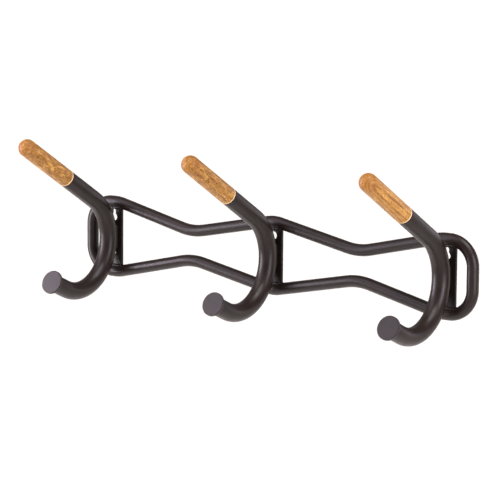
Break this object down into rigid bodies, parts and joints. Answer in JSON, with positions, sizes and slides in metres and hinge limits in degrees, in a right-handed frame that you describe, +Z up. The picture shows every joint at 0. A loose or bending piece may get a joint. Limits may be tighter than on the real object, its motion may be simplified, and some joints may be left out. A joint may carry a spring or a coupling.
{
  "type": "wall hook rack",
  "caption": "Wall rack of bent steel rod with wooden-tipped two-way hooks of bent tube, hung on keyhole plates.",
  "frame": {"origin": "on the wall plane, the backs of the rails, behind the middle hook and half way between the two rails", "axes": "+X along the rack to the right as seen from the front, +Y into the wall, +Z up; the hooks reach out along -Y"},
  "size_m": [0.5016, 0.163, 0.182],
  "materials": {
    "frame_steel": "satin dark brown-black powder coat",
    "hook_steel": "satin dark brown-black powder coat",
    "plate_steel": "satin dark brown-black powder coat",
    "cap_steel": "satin dark grey powder coat",
    "wood": "clear satin lacquer over pale golden hardwood"
  },
  "bodies": {
    "root": {"rail_top": "frame_steel", "rail_bottom": "frame_steel", "wall_plate_left": "plate_steel", "hook_tube_left": "hook_steel", "wood_tip_left": "wood", "end_cap_left": "cap_steel", "wall_plate_middle": "plate_steel", "hook_tube_middle": "hook_steel", "wood_tip_middle": "wood", "end_cap_middle": "cap_steel", "wall_plate_right": "plate_steel", "hook_tube_right": "hook_steel", "wood_tip_right": "wood", "end_cap_right": "cap_steel"}
  },
  "joints": []
}
